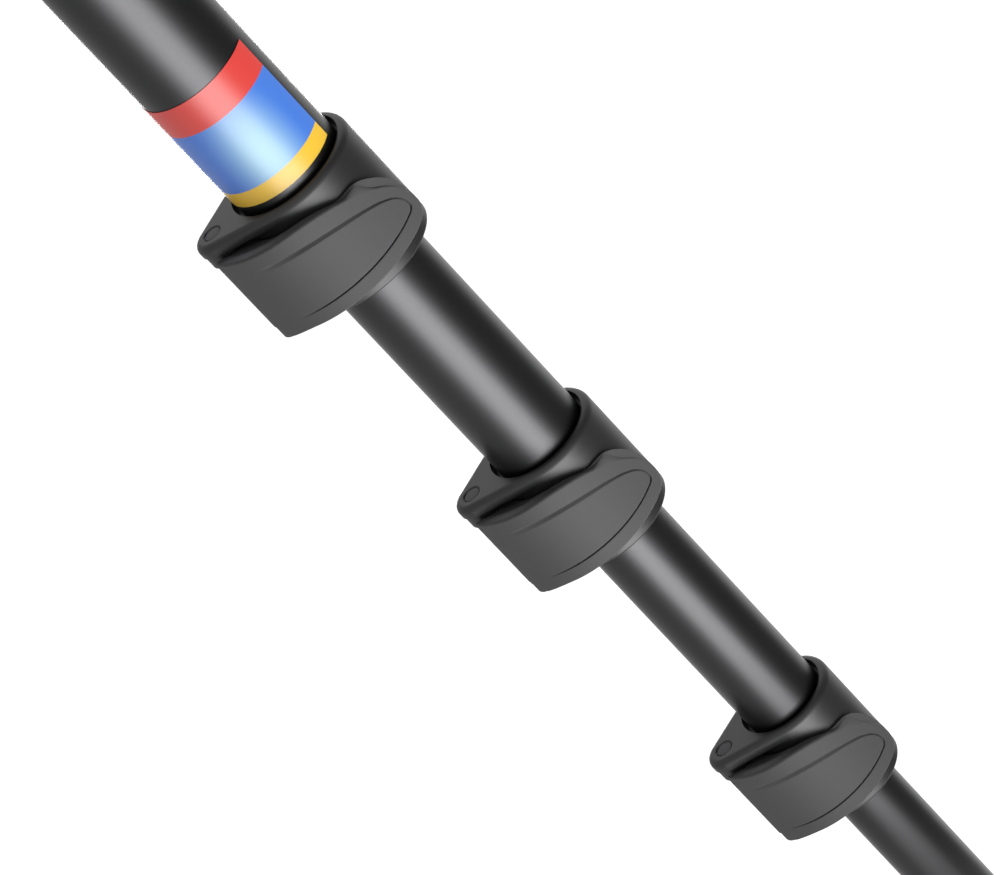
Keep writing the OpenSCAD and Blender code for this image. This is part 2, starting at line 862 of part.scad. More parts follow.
camera_screw();
platform_pad();
camera_platform();
platform_screws();
platform_grub_screw();
head_plug();
foam_grip();
tube_1();
label();
collar_1();
pin_1();
liner_1();
lever_1();
brake_shoe_1();
top_bush_2();
tube_2();
collar_2();
pin_2();
liner_2();
lever_2();
brake_shoe_2();
top_bush_3();
tube_3();
collar_3();
pin_3();
liner_3();
lever_3();
brake_shoe_3();
top_bush_4();
tube_4();
foot_plug();
foot_stud();
rubber_foot();
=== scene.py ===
import math

import bmesh
import bpy
from mathutils import Matrix, Vector


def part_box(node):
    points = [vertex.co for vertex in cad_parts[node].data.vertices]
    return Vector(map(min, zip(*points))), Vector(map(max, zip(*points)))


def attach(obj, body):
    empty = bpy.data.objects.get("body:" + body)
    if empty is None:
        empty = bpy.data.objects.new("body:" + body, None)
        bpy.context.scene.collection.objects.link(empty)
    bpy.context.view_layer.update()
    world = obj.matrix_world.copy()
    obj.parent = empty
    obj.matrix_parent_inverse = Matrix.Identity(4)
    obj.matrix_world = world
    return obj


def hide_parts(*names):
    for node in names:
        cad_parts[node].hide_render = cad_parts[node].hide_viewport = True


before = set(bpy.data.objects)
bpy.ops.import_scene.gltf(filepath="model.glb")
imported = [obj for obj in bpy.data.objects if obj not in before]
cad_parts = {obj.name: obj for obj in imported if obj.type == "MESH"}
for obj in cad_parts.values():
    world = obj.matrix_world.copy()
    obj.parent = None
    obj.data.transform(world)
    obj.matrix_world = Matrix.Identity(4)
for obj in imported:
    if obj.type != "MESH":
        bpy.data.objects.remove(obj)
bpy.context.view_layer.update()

# Tubes. Four drawn aluminium tubes, satin black anodised, each sliding in the one above it.
# Diameters and ends come from the frame; the wall is 1.2 mm and the sawn ends are broken by 0.25 mm.
mm = 0.001
merge_gap = 1e-7
tube_wall = 1.2
tube_break = 0.25
draw_mark_w, draw_mark_l = 0.3, 30.0
satin_low, satin_high = 0.35, 0.40
tube_bodies = {1: "upper_section", 2: "section_2", 3: "section_3", 4: "section_4"}
tube_dark, tube_light = "#3d3d3e", "#434344"


def linear(code):
    """Scene-linear colour of an sRGB hex code."""
    parts = [int(code[k:k + 2], 16) / 255 for k in (1, 3, 5)]
    return [p / 12.92 if p <= 0.04045 else ((p + 0.055) / 1.055) ** 2.4 for p in parts] + [1]


def add_node(tree, kind, sockets, **settings):
    """A new shader node; a socket is given a value, or the output that feeds it."""
    made = tree.nodes.new(kind)
    for key, value in settings.items():
        setattr(made, key, value)
    for key, value in sockets.items():
        if isinstance(value, bpy.types.NodeSocket):
            tree.links.new(value, made.inputs[key])
        else:
            made.inputs[key].default_value = value
    return made


def new_material(name, sockets):
    """A material, its node tree, its shader and its Object coordinates."""
    material = bpy.data.materials.new(name)
    material.use_nodes = True
    tree = material.node_tree
    shader = tree.nodes["Principled BSDF"]
    for key, value in sockets.items():
        shader.inputs[key].default_value = value
    place = add_node(tree, "ShaderNodeTexCoord", {}).outputs["Object"]
    return material, tree, shader, place


def grained(name, sockets, size, depth, dark, light):
    """A material in two close tones, with grains of that size and depth in millimetres."""
    material, tree, shader, place = new_material(name, sockets)
    grain = add_node(tree, "ShaderNodeTexNoise", {"Vector": place, "Scale": 1 / (size * mm), "Detail": 2.0})
    tone = add_node(tree, "ShaderNodeMix", {0: grain.outputs[0], 6: linear(dark), 7: linear(light)},
                    data_type="RGBA")
    bump = add_node(tree, "ShaderNodeBump",
                    {"Height": grain.outputs[0], "Distance": depth * mm, "Strength": 1.0})
    tree.links.new(tone.outputs[2], shader.inputs["Base Color"])
    tree.links.new(bump.outputs["Normal"], shader.inputs["Normal"])
    return material


def rounded(corners, steps=5):
    """An outline with each corner, given as radius, height and round, rounded off."""
    line = []
    for n, (r, z, cut) in enumerate(corners):
        here = Vector((r, z))
        before = Vector(corners[n - 1][:2]) - here
        after = Vector(corners[(n + 1) % len(corners)][:2]) - here
        if cut == 0:
            line.append((r, z))
            continue
        start = here + before.normalized() * cut
        end = here + after.normalized() * cut
        for k in range(steps + 1):
            t = k / steps
            point = start.lerp(here, t).lerp(here.lerp(end, t), t)
            line.append((point.x, point.y))
    return line


def turned(profile, steps=96, x=0.0):
    """A turned solid from a profile in millimetres, about an upright axis at x metres."""
    mesh = bmesh.new()
    line = [mesh.verts.new((x + r * mm, 0, z * mm)) for r, z in profile]
    pairs = list(zip(line, line[1:]))
    if profile[0][0] > 0:
        pairs.append((line[-1], line[0]))
    edges = [mesh.edges.new(pair) for pair in pairs]
    bmesh.ops.spin(mesh, geom=line + edges, cent=(x, 0, 0), axis=(0, 0, 1),
                   angle=2 * math.pi, steps=steps, use_merge=True)
    bmesh.ops.remove_doubles(mesh, verts=mesh.verts, dist=merge_gap)
    bmesh.ops.recalc_face_normals(mesh, faces=mesh.faces)
    return mesh


def settle(mesh, name, material, sharp=35):
    """An object from the mesh, shaded smooth but for edges sharper than that angle."""
    bmesh.ops.recalc_face_normals(mesh, faces=mesh.faces)
    for face in mesh.faces:
        face.smooth = True
    for edge in mesh.edges:
        edge.smooth = edge.is_manifold and edge.calc_face_angle(0.0) < math.radians(sharp)
    data = bpy.data.meshes.new(name)
    mesh.to_mesh(data)
    mesh.free()
    data.materials.append(material)
    made = bpy.data.objects.new(name, data)
    bpy.context.scene.collection.objects.link(made)
    return made


# Anodised aluminium, drawn and dyed black: a satin metal with long soft highlights. Its grain and its
# drawing marks are coarser than the real ones, so that they show.
anodised = grained("anodised_tube", {"Metallic": 1.0},
                   size=0.4, depth=0.001, dark=tube_dark, light=tube_light)
tree = anodised.node_tree
place = tree.nodes["Texture Coordinate"].outputs["Object"]
marks = (1 / (draw_mark_w * mm), 1 / (draw_mark_w * mm), 1 / (draw_mark_l * mm))
drawn = add_node(tree, "ShaderNodeMapping", {"Vector": place, "Scale": marks})
lines = add_node(tree, "ShaderNodeTexNoise", {"Vector": drawn.outputs[0], "Scale": 1.0, "Detail": 2.0})
satin = add_node(tree, "ShaderNodeMapRange",
                 {"Value": lines.outputs[0], "To Min": satin_low, "To Max": satin_high})
tree.links.new(satin.outputs[0], tree.nodes["Principled BSDF"].inputs["Roughness"])

for number, body in tube_bodies.items():
    low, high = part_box(f"tube_{number}")
    outer, inner = high.x / mm, high.x / mm - tube_wall
    profile = rounded([(outer, low.z / mm, tube_break), (outer, high.z / mm, tube_break),
                       (inner, high.z / mm, tube_break), (inner, low.z / mm, tube_break)], steps=3)
    tube = settle(turned(profile, steps=144), f"drawn_tube_{number}", anodised)
    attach(tube, body)
    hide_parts(f"tube_{number}")


# Liners and bushes. Turned nylon sleeves, natural white, out of sight inside the locks and tubes:
# a liner guides each inner tube in its lock and a bush on its top end keeps it straight.
def paint(name, material):
    """Gives a CAD node that is kept its finished material."""
    for place_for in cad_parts[name].material_slots:
        place_for.material = material


# Natural nylon, turned: off-white and waxy, because light goes a little way into it.
nylon = grained("nylon", {"Roughness": 0.5, "Subsurface Weight": 0.1, "Subsurface Scale": 0.5 * mm},
                size=0.8, depth=0.004, dark="#d8d3c8", light="#dedad0")
for number in (1, 2, 3):
    paint(f"liner_{number}", nylon)
    paint(f"top_bush_{number + 1}", nylon)

# Label. A printed film 0.12 mm thick stuck round the top tube, 33.8 mm high, just above the first
# lock: plain bands of red, blue and yellow. It ends 56 degrees right of the front and goes 240 degrees
# round.
label_wrap, label_end, label_steps = 240, 56.0, 96
label_t, label_seat = 0.12, 0.03
yellow_h, red_h = 4.7, 9.0
# Centre (turn and height) and reach of the painted highlight in the blue.
painted_highlight_centre, painted_highlight_reach = (-0.12, 0.3, 0.0), 0.85
film_ripple, film_ripple_depth = 6.0, 0.02
film_red, film_blue, film_painted_highlight, film_yellow = "#e6463f", "#4a82e4", "#a6d6ee", "#fbcb3c"

# Printed film: clear colours under a half gloss, with a faint ripple. The blue carries a painted
# highlight: it turns pale towards a spot at the front middle of the band.
film, tree, shader, place = new_material("label_film", {"Roughness": 0.36, "Specular IOR Level": 0.55})
low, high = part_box("label")
label_h = (high.z - low.z) / mm
axes = add_node(tree, "ShaderNodeSeparateXYZ", {0: place}).outputs
height = add_node(tree, "ShaderNodeMapRange",
                  {"Value": axes["Z"], "From Min": low.z, "From Max": high.z}).outputs[0]
front = add_node(tree, "ShaderNodeMath", {0: axes["Y"], 1: -1.0}, operation="MULTIPLY")
round_it = add_node(tree, "ShaderNodeMath", {0: axes["X"], 1: front.outputs[0]}, operation="ARCTAN2")
highlight_place = add_node(tree, "ShaderNodeCombineXYZ", {"X": round_it.outputs[0], "Y": height})
# Painted highlight: the blue is mixed towards pale round a spot near the front of the band.
reach = add_node(tree, "ShaderNodeVectorMath", {0: highlight_place.outputs[0], 1: painted_highlight_centre}, operation="DISTANCE")
painted_highlight = add_node(tree, "ShaderNodeMapRange",
                {"Value": reach.outputs["Value"], "From Min": 0.0, "From Max": painted_highlight_reach,
                 "To Min": 1.0, "To Max": 0.0}, interpolation_type="SMOOTHSTEP")
blue = add_node(tree, "ShaderNodeMix", {0: painted_highlight.outputs[0], 6: linear(film_blue), 7: linear(film_painted_highlight)},
                data_type="RGBA")
is_red = add_node(tree, "ShaderNodeMath", {0: height, 1: 1 - red_h / label_h}, operation="GREATER_THAN")
is_yellow = add_node(tree, "ShaderNodeMath", {0: height, 1: yellow_h / label_h}, operation="LESS_THAN")
upper = add_node(tree, "ShaderNodeMix", {0: is_red.outputs[0], 6: blue.outputs[2], 7: linear(film_red)},
                 data_type="RGBA")
bands = add_node(tree, "ShaderNodeMix",
                 {0: is_yellow.outputs[0], 6: upper.outputs[2], 7: linear(film_yellow)}, data_type="RGBA")
ripple = add_node(tree, "ShaderNodeTexNoise",
                  {"Vector": place, "Scale": 1 / (film_ripple * mm), "Detail": 1.0})
bump = add_node(tree, "ShaderNodeBump", {"Height": ripple.outputs[0], "Distance": film_ripple_depth * mm,
                                         "Strength": 1.0})
tree.links.new(bands.outputs[2], shader.inputs["Base Color"])
tree.links.new(bump.outputs["Normal"], shader.inputs["Normal"])

mesh = bmesh.new()
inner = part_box("tube_1")[1].x / mm + label_seat
bottom, top = low.z / mm, high.z / mm
corners = [(inner, bottom), (inner + label_t, bottom), (inner + label_t, top), (inner, top)]
turn = Matrix.Rotation(math.radians(label_end - label_wrap - 90), 4, "Z")
line = [mesh.verts.new(turn @ Vector((r * mm, 0, z * mm))) for r, z in corners]
edges = [mesh.edges.new((line[k], line[(k + 1) % 4])) for k in range(4)]
bmesh.ops.spin(mesh, geom=line + edges, cent=(0, 0, 0), axis=(0, 0, 1),
               angle=math.radians(label_wrap), steps=label_steps, use_merge=False)
bmesh.ops.holes_fill(mesh, edges=[e for e in mesh.edges if e.is_boundary], sides=0)
label = settle(mesh, "printed_label", film)
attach(label, "upper_section")
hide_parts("label")

# Lock collars. Moulded black plastic, glued on the lower end of a tube: a flange with a rounded
# shoulder drawn out to a lug over the pin, a round wall with a moulding line, a rib and a foot lug. A
# step round the tube leaves a dark ring at the mouth, and a window lets the cam at the brake shoe.
shoulder, flange_t, flange_edge, flange_ease, lug_r = 1.9, 3.5, 0.25, 0.07, 5.5
mouth_w, mouth_depth, socket_depth, lip_t = 1.1, 3.0, 13.4, 1.6
mouth_break, mouth_rim, mouth_flare = 0.12, 0.02, 0.04
fit_gap, lip_gap = 0.03, 0.4
boss_depth, boss_gap = 7.0, 0.35
line_drop, line_w, line_depth = 5.8, 0.3, 0.04
rib_out, rib_w, rib_gap, rib_root = 1.5, 3.0, 0.3, 0.8
foot_lug_t, foot_lug_r, foot_lug_root, foot_bevel = 3.3, 4.4, 39, 0.8
foot_lug_reach, foot_lug_lift = 1.1, 0.01
hole_r, hole_break, cut_over = 2.33, 0.35, 1.0
window_w, window_h, window_top = 9.0, 13.0, 15.25
wall_steps, lug_steps, shoulder_steps, bevel_steps, bore_steps = 96, 24, 8, 4, 64
collar_dark, collar_light = "#1a1a1b", "#1f1f20"
lock_bodies = {1: "upper_section", 2: "section_2", 3: "section_3"}


def ring(mesh, points):
    """A ring of corners at points in millimetres."""
    return [mesh.verts.new(Vector(p) * mm) for p in points]


def skin(mesh, rings, closed=False):
    """A surface through rings of the same number of corners, closed on itself if so."""
    for a, b in zip(rings if closed else rings[1:], [rings[-1]] + rings if closed else rings):
        for k in range(len(a)):
            mesh.faces.new((b[k - 1], b[k], a[k], a[k - 1]))
    bmesh.ops.remove_doubles(mesh, verts=mesh.verts, dist=merge_gap)
    bmesh.ops.recalc_face_normals(mesh, faces=mesh.faces)


def lock_ring(mesh, z, body_r, pin, spread, lug=None):
    """Ring at height z: the collar's round of radius body_r, drawn out to the lug if it has one."""
    points = []
    for k in range(wall_steps + 1):
        a = spread + (2 * math.pi - 2 * spread) * k / wall_steps
        points.append((-body_r * math.cos(a), -body_r * math.sin(a), z))
    x, r = (-pin, lug) if lug else (0, body_r)
    for k in range(lug_steps + 1):
        a = -spread + 2 * spread * k / lug_steps
        points.append((x - r * math.cos(a), -r * math.sin(a), z))
    return ring(mesh, points)


def left_arc(x, r, degrees):
    """Points of a circle about x, at angles from its left side towards the front."""
    return [(x - r * math.cos(math.radians(d)), -r * math.sin(math.radians(d))) for d in degrees]


def prism(points, low, high):
    """An upright prism from an outline in millimetres."""
    mesh = bmesh.new()
    face = mesh.faces.new([mesh.verts.new((x * mm, y * mm, low * mm)) for x, y in points])
    grown = bmesh.ops.extrude_face_region(mesh, geom=[face])
    bmesh.ops.translate(mesh, vec=(0, 0, (high - low) * mm),
                        verts=[v for v in grown["geom"] if isinstance(v, bmesh.types.BMVert)])
    bmesh.ops.recalc_face_normals(mesh, faces=mesh.faces)
    return mesh


def cylinder(r, low, high, x):
    """An upright cylinder in millimetres, about an axis at x."""
    return turned([(0, low), (r, low), (r, high), (0, high)], bore_steps, x * mm)


def joined(mesh, other, operation):
    """The first solid with the second one added to it or cut out of it."""
    solids = []
    for part in (mesh, other):
        data = bpy.data.meshes.new("solid")
        part.to_mesh(data)
        part.free()
        solids.append(bpy.data.objects.new("solid", data))
        bpy.context.scene.collection.objects.link(solids[-1])
    step = solids[0].modifiers.new("join", "BOOLEAN")
    step.object, step.operation, step.solver = solids[1], operation, "EXACT"
    bpy.context.view_layer.update()
    result = bmesh.new()
    result.from_object(solids[0], bpy.context.evaluated_depsgraph_get())
    for solid in solids:
        data = solid.data
        bpy.data.objects.remove(solid)
        bpy.data.meshes.remove(data)
    return result


def weigh(made):
    """Shades a joined solid by its larger faces, with its sharp edges kept."""
    made.modifiers.new("weighted normals", "WEIGHTED_NORMAL").keep_sharp = True


# ABS, moulded black: half matt, with soft highlights along its rounds. Its fine grain is drawn coarser
# than the real one, so that it shows.
collar_plastic = grained("collar_plastic", {"Roughness": 0.46, "Specular IOR Level": 0.6},
                         size=0.35, depth=0.006, dark=collar_dark, light=collar_light)

for number, body in lock_bodies.items():
    low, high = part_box(f"collar_{number}")
    top, foot, wall_r = high.z / mm, low.z / mm, high.x / mm
    pin = -low.x / mm - lug_r
    spread = math.acos((wall_r - lug_r) / pin)
    tube_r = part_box(f"tube_{number}")[1].x / mm
    inner_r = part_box(f"tube_{number + 1}")[1].x / mm
    liner_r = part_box(f"liner_{number}")[1].x / mm
    mesh = bmesh.new()
    levels = [
        (foot, inner_r + lip_gap, None), (foot + lip_t, inner_r + lip_gap, None),
        (foot + lip_t, liner_r + fit_gap, None), (top - socket_depth, liner_r + fit_gap, None),
        (top - socket_depth, tube_r + fit_gap, None), (top - mouth_depth, tube_r + fit_gap, None),
        (top - mouth_depth, tube_r + mouth_w, None), (top - mouth_break, tube_r + mouth_w, None),
        (top - mouth_rim, tube_r + mouth_w + mouth_flare, None),
    ]
    for k in range(shoulder_steps + 1):
        a = math.radians(90 - k * 90 / shoulder_steps)
        back = shoulder * (1 - math.cos(a))
        levels.append((top - shoulder * (1 - math.sin(a)), wall_r - back, lug_r - back))
    levels += [
        (top - flange_t + flange_edge, wall_r, lug_r),
        (top - flange_t + flange_ease, wall_r, lug_r - flange_ease),
        (top - flange_t, wall_r, lug_r - flange_edge), (top - flange_t, wall_r, None),
        (top - line_drop + line_w / 2, wall_r, None), (top - line_drop, wall_r - line_depth, None),
        (top - line_drop - line_w / 2, wall_r, None),
    ]
    for k in range(bevel_steps + 1):
        a = math.radians(k * 90 / bevel_steps)
        levels.append((foot + foot_bevel * (1 - math.sin(a)), wall_r - foot_bevel * (1 - math.cos(a)), None))
    skin(mesh, [lock_ring(mesh, z, r, pin, spread, lug) for z, r, lug in levels], True)

    boss = cylinder(lug_r - boss_gap, top - boss_depth, top - flange_t / 2, -pin)
    mesh = joined(mesh, boss, "UNION")
    half_w = window_w / 2
    side, far_side = half_w + rib_gap, half_w + rib_gap + rib_w
    rib = [(-wall_r - rib_out, side), (-wall_r - rib_out, far_side)]
    rib += [(-math.sqrt((wall_r - rib_root) ** 2 - y * y), y) for y in (far_side, side)]
    mesh = joined(mesh, prism(rib, foot + foot_lug_t / 2, top - flange_t / 2), "UNION")
    root, middle = math.radians(foot_lug_root), (liner_r + wall_r) / 2
    meets = Vector((-wall_r * math.cos(root), wall_r * math.sin(root)))
    reach = Vector((-pin, foot_lug_r)).lerp(meets, foot_lug_reach)
    outline = left_arc(-pin, foot_lug_r, range(-90, 91, 6)) + [(reach.x, -reach.y)]
    outline += left_arc(0, middle, range(30, -31, -15)) + [(reach.x, reach.y)]
    mesh = joined(mesh, prism(outline, foot + foot_lug_lift, foot + foot_lug_t), "UNION")
    wide = hole_r + hole_break
    hole = turned([(0, foot - cut_over), (wide, foot - cut_over), (wide, foot), (hole_r, foot + hole_break),
                   (hole_r, top - hole_break), (wide, top), (wide, top + cut_over), (0, top + cut_over)],
                  bore_steps, -pin * mm)
    mesh = joined(mesh, hole, "DIFFERENCE")
    window = prism([(-wall_r - cut_over, -half_w), (-inner_r / 2, -half_w),
                    (-inner_r / 2, half_w), (-wall_r - cut_over, half_w)],
                   top - window_top - window_h, top - window_top)
    mesh = joined(mesh, window, "DIFFERENCE")
    collar = settle(mesh, f"lock_collar_{number}", collar_plastic)
    weigh(collar)
    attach(collar, body)
    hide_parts(f"collar_{number}")

# Lock pins. Blackened steel pins 4.6 mm across, pressed into both lugs of a collar, with their
# rounded ends just below the lugs' faces.
pin_round = 0.3

# Blackened steel, turned: dark, with a dull shine.
black_steel = grained("black_steel", {"Metallic": 1.0, "Roughness": 0.42},
                      size=0.25, depth=0.004, dark="#3b3b3d", light="#464648")

for number, body in lock_bodies.items():
    low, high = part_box(f"pin_{number}")
    pin_r = (high.x - low.x) / 2 / mm
    profile = rounded([(0, low.z / mm, 0), (pin_r, low.z / mm, pin_round),
                       (pin_r, high.z / mm, pin_round), (0, high.z / mm, 0)])
    solid = turned(profile, steps=48, x=(low.x + high.x) / 2)
    steel_pin = settle(solid, f"lock_pin_{number}", black_steel)
    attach(steel_pin, body)
    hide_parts(f"pin_{number}")

# Cam levers. Moulded grey plastic, swinging on the locks' pins: a plate curved round the collar with a
# thumb lip, a leaf-shaped groove round a flush panel, and a shelf that closes its gap to the collar. A
# web joins it to the knuckle, whose cam presses the brake shoe.
stations = 64
face_out, arc_x, arc_y, plate_t, wall_gap = 8.0, 4.3, 4.6, 3.0, 0.35
plate_top, plate_bottom, tip_rise, corner_r = 4.0, 30.1, 2.7, 2.0
corner_drop, corner_run = 1.8, 8.5
ledge_h, ledge_fall, ledge_tip, ledge_edge, ledge_ease = 0.7, 1.8, 1.2, 0.25, 0.07
lip_from, lip_to, top_drop, base_drop = 2.0, 11.5, 0.1, 0.2
blend_rise, blend_to, blend_fall = 5.0, 13.0, 4.5
face_fall, face_tip, face_top, face_edge, face_root = 12.0, 0.2, 0.1, 0.4, 0.15
face_round, top_round, soft_left, soft_tip = 0.5, 0.8, 3.0, 6.0
leaf_top, leaf_bottom, leaf_tip, leaf_left, leaf_fall, leaf_r = 4.4, 3.9, 2.3, 1.2, 20.0, 1.2
leaf_end, leaf_fade, groove_top, groove_low, groove_sunk, panel_sunk = 22.0, 11.0, 1.3, 0.4, 0.7, 0.1
knuckle_r, knuckle_over, knuckle_round, cam_r, cam_throw, cam_round = 4.6, 0.3, 0.3, 4.85, 0.7, 0.2
pin_run, bore_over, notch_under = 0.08, 2.0, 0.05
web_from, web_to, web_step, web_skin, web_bite, web_under = 157, 133, 6, 0.4, 0.6, 0.02
shelf_to, shelf_t, shelf_gap, shelf_drop, shelf_fall, shelf_run = 85, 2.2, 0.15, 0.4, 1.4, 4.0
shoe_h, shoe_side = 12.4, 0.3
lever_dark, lever_light = "#545455", "#5c5c5d"

# The groove's steps, from the face down to its bottom and up to the panel: how far each is drawn in
# at the sides and below, how far at the top, and its depth.
groove_steps = [
    (-0.2, -0.25, 0.0), (0, 0, 0.05), (groove_low * 0.35, groove_top * 0.2, groove_sunk),
    (groove_low * 0.55, groove_top * 0.45, groove_sunk * 0.9), (groove_low, groove_top, panel_sunk + 0.06),
    (groove_low + 0.15, groove_top + 0.15, panel_sunk), (groove_low + 0.6, groove_top + 0.6, panel_sunk),
]


def top_edge(x, fall, tip, top, point):
    """Height of a top edge that falls in a quarter ellipse from x = fall to the tip's point."""
    drop = min(1, max(0, (x - fall) / (tip - fall)))
    return point + (top - point) * math.sqrt(1 - drop * drop)


def smooth(t):
    """0 below 0 and 1 above 1, with a soft rise between."""
    t = min(1, max(0, t))
    return t * t * (3 - 2 * t)


def leaf_line(left, fall, tip, top, bottom, left_r, tip_r):
    """Outline of the plate as x and z: along the top to the tip, then back along the bottom."""
    xs = [left + (tip - left) * (1 - math.cos(math.pi * n / (stations - 1))) / 2 for n in range(stations)]
    line = [(x, top_edge(x, fall, tip, top, bottom + tip_r)) for x in xs]
    for x in reversed(xs[:-1]):
        rise = 0
        for reach, r in ((x - left, left_r), (tip - x, tip_r)):
            if reach < r:
                rise = max(rise, r - math.sqrt(max(0, r * r - (r - reach) ** 2)))
        line.append((x, bottom + rise))
    return line


# ABS, moulded grey: quite matt, so that soft shading shows its form. Its grain is drawn coarser than the
# real one, so that it shows.
lever_plastic = grained("lever_plastic", {"Roughness": 0.62, "Specular IOR Level": 0.15},
                        size=0.35, depth=0.012, dark=lever_dark, light=lever_light)

for number in lock_bodies:
    low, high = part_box(f"collar_{number}")
    lock_top, lock_foot, wall_r = high.z / mm, low.z / mm, high.x / mm
    pin = -low.x / mm - lug_r
    face_r = wall_r + face_out
    web_r = face_r - plate_t + web_bite
    left, tip = -pin - knuckle_r - knuckle_over, wall_r + face_tip
    top, bottom = -plate_top - face_top, -plate_bottom + face_edge
    leaf_x0, leaf_x = left + face_edge + leaf_left, tip - leaf_tip
    leaf_z0, leaf_z = bottom + leaf_bottom, top - leaf_top

    def arc_point(k, a, z):
        """The point at a distance and an angle from the axis of the face's arc."""
        return -arc_x + k * math.cos(a), arc_y - k * math.sin(a), z

    def arc_angle(x):
        """The angle at which the face passes over x."""
        return math.acos(max(-1, min(1, (x + arc_x) / face_r)))

    def wall_reach(a, r):
        """Distance at an angle from the axis of the face's arc to a circle round the tube."""
        u = -arc_x * math.cos(a) - arc_y * math.sin(a)
        c = arc_x ** 2 + arc_y ** 2 - r ** 2
        return -u + math.sqrt(u * u - c)

    def face_point(x, z, sunk):
        """The point at a depth under the face."""
        return arc_point(face_r - sunk, arc_angle(x), lock_top + z)

    def plate_loop(line, rise):
        """Points of an outline at a height over the plate's inner side."""
        points = []
        for x, z in line:
            a = arc_angle(x)
            k = max(face_r - plate_t, wall_reach(a, wall_r + wall_gap)) + rise
            points.append(arc_point(k, a, lock_top + z))
        return points

    def face_edge_at(x):
        """Height of the face's top edge."""
        return top_edge(x, -face_fall, tip, top, bottom + tip_rise)

    def lipped(line, drop):
        """An outline whose top edge, left of the thumb lip, lies that far below the face's top edge."""
        led = []
        for n, (x, z) in enumerate(line):
            edge = face_edge_at(x) - drop
            share = smooth((x - lip_from) / (lip_to - lip_from))
            led.append((x, edge + (z - edge) * share if n < stations else z))
        return led

    def cornered(line):
        """An outline whose bottom edge falls towards its left end, in front of the collar's foot lug."""
        return [(x, z - corner_drop * max(0, 1 - (x - left) / corner_run) ** 2 if n >= stations else z)
                for n, (x, z) in enumerate(line)]

    def base_line(m):
        """The plate's own outline, drawn in by m."""
        line = leaf_line(left + m, -ledge_fall, wall_r + ledge_tip - m, -plate_top - m, -plate_bottom + m,
                         corner_r, tip_rise)
        return lipped(cornered(line), top_drop + base_drop + m)

    def edge_loop(turn):
        """Points where the round of the face's edge, larger along the top, has turned by an angle."""
        inset, dip = 1 - math.cos(turn), 1 - math.sin(turn)
        line = leaf_line(left + face_edge + face_round * inset, -face_fall, tip - face_round * inset,
                         top - top_round * inset, bottom + face_round * inset, corner_r, tip_rise)
        points = []
        for n, (x, z) in enumerate(cornered(line)):
            soft = smooth(min((x - left) / soft_left, (tip - x) / soft_tip)) if n < stations else 0
            points.append(face_point(x, z, (face_round + (top_round - face_round) * soft) * dip))
        return points

    def panel_line(m, deep):
        """The leaf's outline, drawn in by m at the sides and below and by deep at the top."""
        return leaf_line(leaf_x0 + m, -leaf_fall, leaf_x - m, leaf_z - deep, leaf_z0 + m, 0, leaf_r)

    def groove_loop(line, sunk):
        """Points of an outline under the face, at a depth that fades out to the left."""
        return [face_point(x, z, sunk * min(1, max(0, (x + leaf_end) / leaf_fade))) for x, z in line]

    loops = [
        plate_loop(base_line(0), 0.0), plate_loop(base_line(0), ledge_h - ledge_edge),
        plate_loop(base_line(ledge_ease), ledge_h - ledge_ease), plate_loop(base_line(ledge_edge), ledge_h),
    ]
    ledge_at = len(loops) - 1
    root_line = leaf_line(left + face_edge - face_root, -face_fall, tip + face_root, top + face_root,
                          bottom - face_root, corner_r, tip_rise)
    loops.append(plate_loop(lipped(cornered(root_line), top_drop), ledge_h))
    loops += [edge_loop(math.radians(d)) for d in range(0, 91, 15)]
    face_at = len(loops) - 1
    loops += [groove_loop(panel_line(m, deep), sunk) for m, deep, sunk in groove_steps]
    for n in range(stations):
        inside, outside = Vector(loops[ledge_at][n]), Vector(loops[face_at][n])
        corner = Vector((inside.x, inside.y, outside.z))
        blend = smooth((inside.x - lip_from) / blend_rise) * smooth((blend_to - inside.x) / blend_fall)
        for k in range(ledge_at + 1, face_at + 1):
            turn = math.radians(90 * (k - ledge_at) / (face_at - ledge_at))
            swept = corner + (outside - corner) * math.sin(turn) + (inside - corner) * math.cos(turn)
            loops[k][n] = Vector(loops[k][n]).lerp(swept, blend)
    mesh = bmesh.new()
    rings = [ring(mesh, points) for points in loops]
    count = 2 * stations - 1
    for line in (rings[0], rings[-1]):
        for n in range(stations - 2):
            mesh.faces.new([line[k] for k in (n, n + 1, count - 2 - n, count - 1 - n)])
        mesh.faces.new(line[stations - 2:stations + 1])
    skin(mesh, rings)

